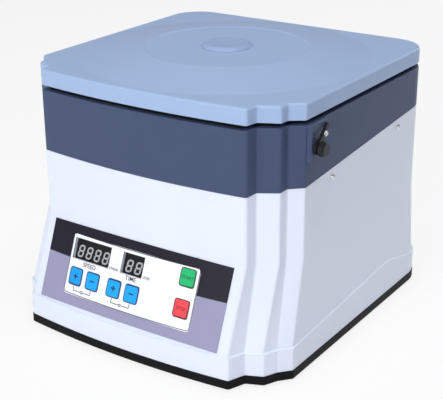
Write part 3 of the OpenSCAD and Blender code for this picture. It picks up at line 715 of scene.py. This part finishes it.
def bracketBars(left, right):
    u1, v1 = keys[left][:2]
    u2, v2 = keys[right][:2]
    bottom = v1 + pairBottom
    face = panel["membraneFace"]
    middle = (u1 + u2) / 2
    reach = (u2 - u1) / 2 - pairs["icon"]
    arm = (reach, pairs["line"])
    leg = (pairs["line"], pairs["drop"] - pairs["legCut"])
    legMiddle = bottom - pairs["drop"] / 2 + pairs["legLow"]
    arms = [(onPanel(middle + side * (pairs["icon"] + reach / 2), bottom, face), arm) for side in (-1, 1)]
    return arms + [(onPanel(u, legMiddle, face), leg) for u in (u1, u2)]


barPiece(
    bracketBars("key_speed_up", "key_speed_down") + bracketBars("key_time_up", "key_time_down"),
    "keyBrackets", "ink", "cabinet")


def openMiddle(part, width):
    middle = list(part.faces)
    bmesh.ops.inset_region(part, faces=middle, thickness=width, use_boundary=True, use_even_offset=True)
    bmesh.ops.delete(part, geom=middle, context="FACES_ONLY")
    bmesh.ops.solidify(part, geom=part.faces, thickness=print3d["thick"])


def keyRim(node, finish):
    grow = 2 * keyShape["rim"] + 0.1
    width, height = keyShape["size"]
    bm = bmesh.new()
    bmesh.ops.create_grid(bm, x_segments=1, y_segments=1, size=0.5)
    bmesh.ops.scale(bm, vec=(width + grow, height + grow, 1), verts=bm.verts)
    bmesh.ops.bevel(
        bm, geom=bm.verts, offset=keyShape["corner"] + keyShape["rim"], segments=6, profile=0.5,
        affect="VERTICES", offset_type="OFFSET", material=-1)
    openMiddle(bm, keyShape["rim"])
    bmesh.ops.recalc_face_normals(bm, faces=bm.faces)
    bm.transform(onPanel(*keys[node][:2], panel["membraneFace"] + print3d["lift"]))
    return finishMesh(bm, node.replace("_", "") + "Rim", finish, "cabinet")


icons = {"outer": 1.9, "inner": 1.1, "places": ((-61.6, 0, 24), (-5.8, -0.2, 6))}  # places: (u, v, sides)


def iconPiece(name, finish, body):
    bm = bmesh.new()
    bottom = keys["key_speed_up"][1] + pairBottom
    for u, down, sides in icons["places"]:
        part = bmesh.new()
        bmesh.ops.create_circle(part, cap_ends=True, segments=sides, radius=icons["outer"])
        openMiddle(part, icons["outer"] - icons["inner"])
        pour(part, bm, onPanel(u, bottom + down, panel["membraneFace"] + print3d["lift"]))
    return finishMesh(bm, name, finish, body)


iconPiece("keyPairIcons", "ink", "cabinet")

# Marks on the keys
marks = {"arm": 6.4, "line": 1.4, "words": 3.6, "weight": 0.02}
for node, (u, v, colour, mark) in keys.items():
    top = onPanel(u, v, panel["keyFace"])
    name = node.replace("_", "") + "Mark"
    rimFinish, markFinish = keyInks[mark]
    keyRim(node, rimFinish)
    if mark in ("START", "STOP"):
        textPiece([(mark, marks["words"], top, marks["weight"])], name, markFinish, bodyOf(node))
        continue
    bars = [(top, (marks["arm"], marks["line"]))]
    if mark == "plus":
        bars += [(top @ Matrix.Rotation(math.pi / 2, 4, "Z"), (marks["arm"], marks["line"]))]
    barPiece(bars, name, markFinish, bodyOf(node))

# Seven-segment digits, unlit
digits = {
    "tall": 14.2,
    "wide": 8.4,
    "pitch": 12.3,
    "bar": 1.9,
    "gap": 0.25,
    "slant": math.radians(9),
    "down": 2.5,
    "face": -3.4,
    "thick": 0.25,
}
windows = (("speedDigits", -58.6, 26.4, 4), ("timeDigits", 0.2, 26.5, 2))  # name, u, v, digits


def digitBars(u, v):
    half, high = digits["wide"] / 2 - digits["bar"] / 2, digits["tall"] / 2 - digits["bar"] / 2
    across = (2 * half - digits["gap"], digits["bar"])
    tallBar = (high - digits["gap"], digits["bar"])
    slant = Matrix.Identity(4)
    slant[0][1] = math.tan(digits["slant"])
    base = onPanel(u, v, digits["face"]) @ slant
    places = [((0, y), across, 0) for y in (-high, 0, high)]
    places += [((x, y), tallBar, math.pi / 2) for x in (-half, half) for y in (-high / 2, high / 2)]
    return [
        (base @ Matrix.Translation((*at, 0)) @ Matrix.Rotation(turn, 4, "Z"), size)
        for at, size, turn in places]


for name, u, v, count in windows:
    bars = []
    for i in range(count):
        bars += digitBars(u + (i - (count - 1) / 2) * digits["pitch"], v + digits["down"])
    barPiece(bars, name, "segment", "cabinet", pointed=True, thick=digits["thick"])
print("panel printed")


# Floor and world

stage = {
    "floorSize": 30,
    "floorColour": rgb(250, 250, 251),
    "floorGlow": 0.82,
    "skyColour": (0.94, 0.96, 1, 1),
    "skyStrength": 0.3,
    "white": (1, 1, 1, 1),
}


def makeFloor():
    bm = bmesh.new()
    bmesh.ops.create_grid(bm, x_segments=2, y_segments=2, size=stage["floorSize"])
    mesh = bpy.data.meshes.new("studioFloor")
    bm.to_mesh(mesh)
    bm.free()
    floor = link("studioFloor", mesh)
    finish = Finish("studioFloor", stage["floorColour"], 0.6)
    light = finish.tree.nodes.new("ShaderNodeLightPath")
    camera, glossy, through = (
        Wire(finish, light.outputs[f"Is {ray} Ray"]) for ray in ("Camera", "Glossy", "Transmission"))
    seen = camera.above(glossy).above(through)
    glow = finish.node("ShaderNodeEmission", {}, Color=stage["white"], Strength=1.0)
    both = finish.tree.nodes.new("ShaderNodeMixShader")
    finish.plug(both.inputs[0], seen * stage["floorGlow"])
    finish.tree.links.new(finish.shader.outputs[0], both.inputs[1])
    finish.plug(both.inputs[2], glow)
    finish.tree.links.new(both.outputs[0], finish.tree.nodes["Material Output"].inputs["Surface"])
    mesh.materials.append(finish.material)


def makeWorld():
    # The background is white to the camera and through glass, and a soft pale light to everything else
    world = bpy.data.worlds.new("studioWorld")
    bpy.context.scene.world = world
    world.use_nodes = True
    tree = world.node_tree
    tree.nodes.clear()
    light = tree.nodes.new("ShaderNodeLightPath")
    seen = tree.nodes.new("ShaderNodeMath")
    seen.operation = "MAXIMUM"
    tree.links.new(light.outputs["Is Camera Ray"], seen.inputs[0])
    tree.links.new(light.outputs["Is Transmission Ray"], seen.inputs[1])
    soft = tree.nodes.new("ShaderNodeBackground")
    soft.inputs["Color"].default_value = stage["skyColour"]
    soft.inputs["Strength"].default_value = stage["skyStrength"]
    white = tree.nodes.new("ShaderNodeBackground")
    white.inputs["Color"].default_value = stage["white"]
    both = tree.nodes.new("ShaderNodeMixShader")
    out = tree.nodes.new("ShaderNodeOutputWorld")
    tree.links.new(seen.outputs[0], both.inputs[0])
    tree.links.new(soft.outputs[0], both.inputs[1])
    tree.links.new(white.outputs[0], both.inputs[2])
    tree.links.new(both.outputs[0], out.inputs["Surface"])


makeFloor()
makeWorld()
print("stage ready")
